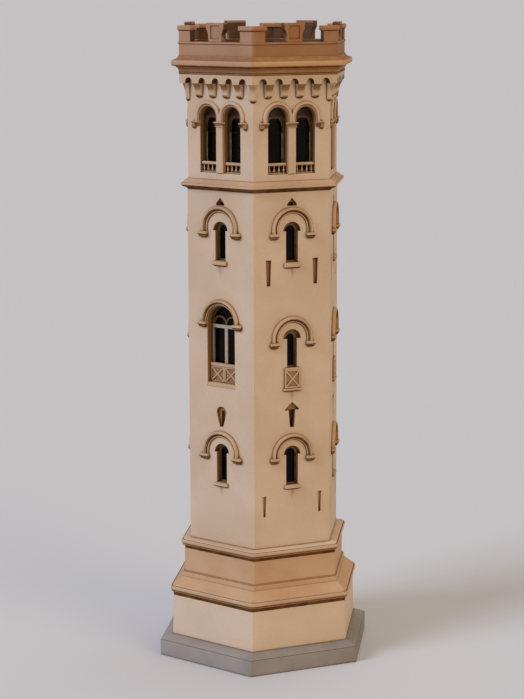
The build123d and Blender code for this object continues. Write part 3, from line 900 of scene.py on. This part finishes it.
# Beside an outer jamb: a moulded shelf, a carved course under it and a drop at its end,
# each as its distance from the jamb and its levels.
IMPOST = (
    (2.8, ((-1.4, 2.5, 1.4, WASH_AND_SHADE), (-1.2, 2.75, 2.0, PAINT), (-0.3, 2.8, 2.35, PAINT),
           (0.0, 2.5, 2.1, PAINT))),
    (2.4, ((-3.3, 2.0, 0.5, HALF_WASH_AND_SHADE), (-3.0, 2.1, 0.9, PAINT), (-2.5, 2.2, 1.1, WASH_AND_SHADE),
           (-2.1, 2.1, 0.8, HALF_WASH_AND_SHADE), (-1.4, 2.3, 1.3, WASH_AND_SHADE))),
    (4.4, ((-5.0, 0.5, 0.5, WASH_AND_SHADE), (-4.5, 0.9, 1.2, WASH_AND_SHADE), (-3.7, 1.15, 1.7, HALF_WASH_AND_SHADE),
           (-2.4, 1.2, 1.9, HALF_WASH_AND_SHADE), (-1.4, 1.0, 1.6, WASH_AND_SHADE))),
)


def belfry_bays(face):
    """Each light's middle, half width, foot and the spring of its arch."""
    bays = []
    for lowest, highest in wall_solids("belfry_frames", face):
        half = (highest.x - lowest.x) / 2 + 0.05
        bays.append(((lowest.x + highest.x) / 2, half, lowest.z, highest.z - half + 0.05))
    return bays


def belfry_arcade(face):
    bays = belfry_bays(face)

    def build(work):
        for across, half, foot, spring in bays:
            shelf = spring - 3.0
            arch_sweep(work, across, spring, shelf, half + 0.15, ARCHIVOLT_SECTION, belfry_face,
                       turned(face), 28)
            side = 1 if across > 0 else -1
            for away, levels in IMPOST:
                middle = across + side * half + side * away
                block(work, middle, 0.0, shelf, belfry_face, levels, turned(face))
        inner_half = abs(bays[0][0]) - half
        pier = ((0.0, -0.5, 0.5, PAINT), (0.4, -0.4, 0.95, PAINT),
                (spring - 6.5 - foot, -0.4, 0.95, PAINT))
        block(work, 0.0, inner_half, foot, belfry_face, pier, turned(face))
        block(work, 0.0, inner_half + 0.1, shelf, belfry_face, CAPITAL_LEVELS, turned(face))
    piece = mesh_object(f"arcade_{face}", build, corbel_paints)
    declare(piece, "trim_plaster", f"belfry_arcade_{face}")


BALUSTER = ((0.62, 0.0), (0.62, 0.5), (0.34, 0.9), (0.66, 1.9), (0.66, 2.4), (0.32, 3.5), (0.32, 4.1),
            (0.56, 4.5), (0.6, 5.1))
BALUSTERS = 4
RAIL = ((-1.9, 0.0, -0.3, PAINT), (-1.5, 0.0, 0.0, PAINT), (-0.4, 0.0, 0.0, PAINT),
        (0.0, 0.0, -0.35, PAINT))
KERB = ((0.0, 0.0, -0.1, PAINT), (0.6, 0.0, -0.1, PAINT), (0.8, 0.0, -0.3, PAINT))


def balustrades():
    """Turned balusters between a moulded rail and a low kerb, two bays on each side."""
    def build(work):
        for face in FACES:
            for lowest, highest in wall_solids("belfry_balustrades", face):
                middle, half = (lowest.x + highest.x) / 2, (highest.x - lowest.x) / 2
                front = -lowest.y
                block(work, middle, half, highest.z, front, RAIL, turned(face), 2.0)
                block(work, middle, half, lowest.z, front, KERB, turned(face), 2.0)
                pitch = 2 * half / BALUSTERS
                for number in range(BALUSTERS):
                    place = middle - half + (number + 0.5) * pitch
                    profile = [(radius, lowest.z + 0.3 + height) for radius, height in BALUSTER]
                    lathe(work, place, front - 0.95, profile, turned(face))
    declare(mesh_object("balustrades", build, trim_paints), "trim_plaster", "belfry_balustrades")


# Width of a light's jamb, height of its head, and how far the spandrels and bead stand out.
LIGHT_JAMB = 1.2
LIGHT_HEAD = 10.0
TRACERY_DEPTH = 0.45
BEAD = 0.35


def shouldered_arch(half, foot, top, across):
    """A light with upright sides, a small shoulder and a narrower round head."""
    radius = half - 0.9
    spring = top - radius
    steps = 14
    head = [(radius * cos(pi * step / steps), spring + radius * sin(pi * step / steps))
            for step in range(steps + 1)]
    outline = [(-half, foot), (half, foot), (half, spring - 1.2), (radius, spring - 0.8), *head,
               (-radius, spring - 0.8), (-half, spring - 1.2)]
    return [(across + x, up) for x, up in outline]


def belfry_tracery():
    """Spandrels that round the head of each belfry light, and a pale bead round its pane."""
    parts = []
    for face in FACES:
        front = -wall_solids("belfry_frames", face)[0][0].y
        # A light's crown is level with the spring of the arch moulded over it.
        for across, half, foot, crown in belfry_bays(face):
            pane, head = half - LIGHT_JAMB, crown - LIGHT_HEAD
            plate = rectangle(2 * pane + 0.6, head, crown + 0.6, across)
            light = shouldered_arch(pane, head, crown, across)
            spandrels = cut_plate("spandrels", [plate, light], front - 0.1, front + TRACERY_DEPTH, 0.1)
            low_foot, near = foot + LIGHT_JAMB + 0.1, pane - BEAD
            trough = [(across + x, up) for x, up in (
                (-pane, low_foot), (pane, low_foot), (pane, head), (near, head), (near, low_foot + BEAD),
                (-near, low_foot + BEAD), (-near, head), (-pane, head))]
            bead = cut_plate("bead", [trough], front - 0.6, front - 0.1, 0.05)
            parts += [(spandrels, face, 0), (bead, face, 1)]
    declare(plate_piece("belfry_tracery", parts, (tracery_paint, bead_paint)), "trim_plaster")


# ---- corbel table ----

ARCH_PITCH = 11.0
ARCH_HALF = 2.8
BAND_HEIGHT = 6.6
ARCH_RISE = 3.7
CORBEL_HALF = 2.7
# The corbels' lowest levels are brown: brown wash and painted shadow under their rounded feet.
CORBEL_LEVELS = (
    (0.0, 0.25, 0.5, WASH_AND_SHADE), (0.25, 0.55, 1.1, WASH_AND_SHADE), (0.8, 0.82, 1.75, WASH_AND_SHADE),
    (1.3, 0.97, 2.2, PAINT), (2.8, 1.0, 2.4, PAINT), (4.6, 1.0, 2.7, PAINT), (6.2, 1.0, 3.2, PAINT),
    (7.6, 1.0, 3.9, PAINT), (8.6, 1.0, 4.45, PAINT), (9.4, 1.0, 4.7, PAINT),
)
CORNER_DROP = 2.6
CORNER_LEG = 2.1


def band(work, matrix, bottom, top):
    """The strip over the corbels, scalloped along its foot and mitred at both ends."""
    steps = 14
    outline = [(None, -1, bottom)]
    for number in range(-2, 3):
        for step in range(steps + 1):
            angle = pi * (1 - step / steps)
            outline.append((number * ARCH_PITCH + ARCH_HALF * cos(angle), 0,
                            bottom + ARCH_RISE * sin(angle) ** 0.8))
    outline += [(None, 1, bottom), (None, 1, top), (None, -1, top)]

    def ring(distance):
        return [(end * distance * MITRE if across is None else across, -distance, up)
                for across, end, up in outline]
    count = len(outline)
    # The arch soffits are solid brown: brown wash and painted shade in the arches.
    sides = [WASH_AND_SHADE if 0 < index < count - 4 else PAINT for index in range(count)]
    loft_rings(work, [ring(belfry_face), ring(corbel_face)], matrix, side_paint=sides)


def corbel(work, across, bottom, matrix):
    """A bracket with a rounded front and foot."""
    rings = []
    for rise, width, reach, paint in CORBEL_LEVELS:
        half = CORBEL_HALF * width
        square = (rise / CORBEL_LEVELS[-1][0]) ** 3
        back = -(belfry_face - 0.2)
        hip = -(belfry_face + (0.45 + 0.5 * square) * reach)
        front = -(belfry_face + (1.15 - 0.13 * square) * reach)
        plan = [Vector((across + side * half, y)) for side, y in (
            (-1, back), (-1, hip), (-1, front), (1, front), (1, hip), (1, back))]
        rings.append(bulged_ring(*plan, bottom + rise))
    loft_rings(work, rings, matrix, level_paint=[level[3] for level in CORBEL_LEVELS])


def corner_corbel(work, bottom, matrix):
    """A longer bracket wrapped round a corner that points along -Y."""
    corner = Vector((0, -belfry_radius))
    inside = Vector((0, 0.3))
    tallest = CORBEL_LEVELS[-1][0]
    rings = []
    for rise, width, reach, paint in CORBEL_LEVELS:
        wall_end = ALONG * CORNER_LEG * width
        hip = wall_end + OUTWARD * 0.5 * reach
        front = wall_end + OUTWARD * reach
        pull = (front + Vector((0, -reach / COS_30))) / 2
        plan = [wall_end * FLIP, hip * FLIP, pull * FLIP, pull, hip, wall_end]
        height = bottom + rise * (tallest + CORNER_DROP) / tallest
        rings.append(bulged_ring(*[corner + inside + point for point in plan], height))
    loft_rings(work, rings, matrix, level_paint=[level[3] for level in CORBEL_LEVELS])


def corbel_table():
    bottom = low("corbel_arcade_0").z + CORNER_DROP
    top = high("corbel_arcade_0").z
    for face in FACES:
        def build(work, matrix=turned(face)):
            band(work, matrix, top - BAND_HEIGHT, top)
            for number in (-1.5, -0.5, 0.5, 1.5):
                corbel(work, number * ARCH_PITCH, bottom, matrix)
        piece = mesh_object(f"corbels_{face}", build, corbel_paints)
        declare(piece, "trim_plaster", f"corbel_arcade_{face}")
    for corner in FACES:
        def build_corner(work, matrix=at_corner(corner)):
            corner_corbel(work, bottom - CORNER_DROP, matrix)
        declare(mesh_object(f"corner_corbel_{corner}", build_corner, corbel_paints), "trim_plaster")


# ---- crown ----

PARAPET_THICKNESS = 5.0
COPING_HEIGHT = 1.5


def parapet():
    """A low wall with a coping, in one ring round the terrace."""
    foot, top, coping = hex_sizes("parapet_walls")
    outer = coping - 0.6 / COS_30
    inner = outer - PARAPET_THICKNESS / COS_30
    # The coping's underside is brown: brown wash and painted shade.
    profile = [(outer, foot, PAINT), (outer, top - COPING_HEIGHT, HALF_WASH_AND_SHADE),
               (outer + 0.1, top - COPING_HEIGHT + 0.1, WASH_AND_SHADE),
               (coping - 0.2, top - COPING_HEIGHT + 0.2, PAINT),
               (coping, top - 1.1, PAINT), (coping, top - 0.3, PAINT), (coping - 0.3, top, PAINT),
               (inner + 0.3, top, PAINT), (inner, top - 0.3, PAINT), (inner, foot, PAINT)]
    paints = (inner_crown_paint,) + crown_paints[1:]
    piece = hex_moulding("parapet_ring", profile, paints, 0.8, hollow=True)
    declare(piece, "moulding_plaster", "parapet_walls")


CAP_LEG = 9.3
# The caps' lowest levels are brown: brown wash and painted shade beneath them.
CAP_LEVELS = ((0.0, 0.15, WASH_AND_SHADE), (0.35, 0.25, WASH_AND_SHADE), (0.7, 0.85, PAINT), (0.9, 0.9, PAINT),
              (2.9, 0.9, PAINT), (3.2, 0.7, PAINT), (3.4, 0.4, PAINT))


def corner_cap(work, matrix, bottom, inner, outer):
    """A moulded cap that follows an L-shaped plan round a corner along -Y."""
    rings = []
    for rise, overhang, paint in CAP_LEVELS:
        near, far = inner - overhang, outer + overhang
        corner = Vector((0, -outer / COS_30))
        end = corner + ALONG * (CAP_LEG + overhang)
        front, back = end + OUTWARD * overhang, end - OUTWARD * (outer - near)
        tip = Vector((0, -far / COS_30))
        heel = Vector((0, -near / COS_30))
        plan = [back * FLIP, front * FLIP, tip, front, back, heel]
        rings.append([(point.x, point.y, bottom + rise) for point in plan])
    loft_rings(work, rings, matrix, level_paint=[level[2] for level in CAP_LEVELS])


def corner_caps():
    outer = wall_distance("middle_merlons")
    inner = outer - PARAPET_THICKNESS
    bottom = low("corner_caps").z

    def build(work):
        for corner in FACES:
            corner_cap(work, at_corner(corner), bottom, inner, outer)
    declare(mesh_object("moulded_corner_caps", build, crown_paints), "moulding_plaster", "corner_caps")


def merlon_outline(half, head, bottom, top):
    """A body that flares in a curve to a wider head."""
    flare_foot, flare_top = bottom + 4.6, top - 4.0
    side = [(half, bottom)]
    for step in range(7):
        part = step / 6
        side.append((half + (head - half) * part ** 1.6, flare_foot + (flare_top - flare_foot) * part))
    side.append((head, top))
    return side + [(-across, up) for across, up in reversed(side)]


def middle_merlons():
    """Flared blocks, each with a sunk panel on its outer side."""
    parts = []
    for face in FACES:
        lowest, highest = wall_solids("middle_merlons", face)[0]
        head, bottom, top = highest.x, lowest.z, highest.z
        half = head - 1.6
        back, front = -highest.y, -lowest.y
        outline = merlon_outline(half, head, bottom, top)
        sunk = rectangle(2 * half - 3.6, bottom + 1.9, top - 1.8)
        body = cut_plate("body", [outline], back, front - 0.75, 0.25)
        surround = cut_plate("surround", [outline, sunk], front - 0.8, front, 0.2)
        parts += [(body, face, PAINT), (surround, face, PAINT)]
    piece = plate_piece("flared_merlons", parts, (inner_crown_paint,))
    declare(piece, "moulding_plaster", "middle_merlons")


# ---- carried-over nodes ----

def dress(material, *nodes, rounding=0.25):
    for node in nodes:
        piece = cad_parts[node]
        piece.data.materials.clear()
        piece.data.materials.append(material)
        if rounding:
            soften(piece, rounding)


def dress_walls():
    for face in FACES:
        sills = [lowest.z for lowest, highest in wall_solids(f"window_sills_{face}", face)]
        shaft_paint = wall_plaster(f"shaft_paint_{face}", face, shaft_face, sills)
        belfry_paint = wall_plaster(f"belfry_paint_{face}", face, belfry_face)
        dress(shaft_paint, f"shaft_wall_{face}", rounding=0)
        dress(belfry_paint, f"belfry_wall_{face}", rounding=0)


base_plate()
plinth()
plinth_moulding()
pedestal()
pedestal_moulding()
string_course()
cornice()
for face in FACES:
    hood_piece(face)
    sill_piece(face)
    belfry_arcade(face)
aprons()
balconies()
balustrades()
belfry_tracery()
corbel_table()
parapet()
corner_caps()
middle_merlons()
dress_walls()

TRANSOM_HEIGHT = 41.0
transom = wall_solids("large_window_frames", 0)[0][0].z + TRANSOM_HEIGHT
arch_foot = belfry_bays(0)[0][3] - 1.0
# A node, its paint's name, the colours above and below a change, its height, the mottling.
for node, name, *settings in (
    ("large_window_frames", "large_frame_paint", colour(98, 70, 38), colour(182, 164, 140), transom, 0.15),
    ("small_window_frames", "small_frame_paint", colour(128, 98, 60), colour(98, 66, 34), 0.0),
    # The belfry frames are near black above the arch foot: painted shade under the arch heads.
    ("belfry_frames", "belfry_frame_paint", colour(52, 31, 12), colour(134, 106, 68), arch_foot),
):
    dress(frame_paint(name, *settings), node, rounding=0.15)
dress(glass, "shaft_glass", "belfry_glass", rounding=0)
dress(steel, "base_screws", rounding=0)
dress(deck_paint, "shaft_floor_low", "shaft_floor_high", rounding=0)
dress(inner_crown_paint, "corner_merlons", rounding=0.3)


# ---- floor, light and camera ----

def studio_floor():
    mesh = bpy.data.meshes.new("floor")
    size = 80.0
    corners = [(-size, -size, 0), (size, -size, 0), (size, size, 0), (-size, size, 0)]
    mesh.from_pydata(corners, [], [(0, 1, 2, 3)])
    floor = add_object("floor", mesh)
    paint = Paint("floor_paper")
    paint.surface("Base Color", (0.62, 0.61, 0.60, 1))
    paint.surface("Roughness", 0.9)
    mesh.materials.append(paint.material)


def soft_sun(name, direction, strength, tint, spread):
    """Even light from one side; spread is its width in degrees."""
    data = bpy.data.lights.new(name, "SUN")
    data.energy = strength
    data.color = tint
    data.angle = radians(spread)
    lamp = add_object(name, data)
    lamp.rotation_euler = Vector(direction).to_track_quat("Z", "Y").to_euler()


def studio_light():
    world = bpy.data.worlds.new("studio")
    bpy.context.scene.world = world
    world.use_nodes = True
    sky = world.node_tree.nodes["Background"]
    sky.inputs["Color"].default_value = (1.0, 0.98, 0.96, 1)
    sky.inputs["Strength"].default_value = 0.35
    soft_sun("key", (-1.65, -1.35, 1.5), 1.96, (0.68, 0.75, 1.0), 26)
    soft_sun("fill", (1.7, -1.3, 0.9), 0.98, (1.0, 0.69, 0.33), 36)
    soft_sun("top", (0.2, 0.4, 2.2), 0.6, (1.0, 0.96, 0.92), 30)


def studio_camera():
    """A long lens a little above the tower's top, looking down at its front corner."""
    distance, height = 1.3282, 0.4489
    bearing = radians(7.006)
    pitch = radians(10.402)
    yaw = radians(0.06)
    roll = radians(-0.174)
    data = bpy.data.cameras.new("camera")
    data.sensor_width = 36.0
    data.lens = 102.84
    data.clip_start = 0.05
    camera = add_object("camera", data)
    level = Matrix.Rotation(bearing, 4, "Z") @ Matrix.Translation((0, -distance, height))
    tilt = Matrix.Rotation(pi / 2 - pitch, 4, "X")
    turn = Matrix.Rotation(yaw, 4, "Z")
    camera.matrix_world = level @ turn @ tilt @ Matrix.Rotation(roll, 4, "Z")
    bpy.context.scene.camera = camera


studio_floor()
studio_light()
studio_camera()
bpy.context.scene.view_settings.view_transform = "Standard"
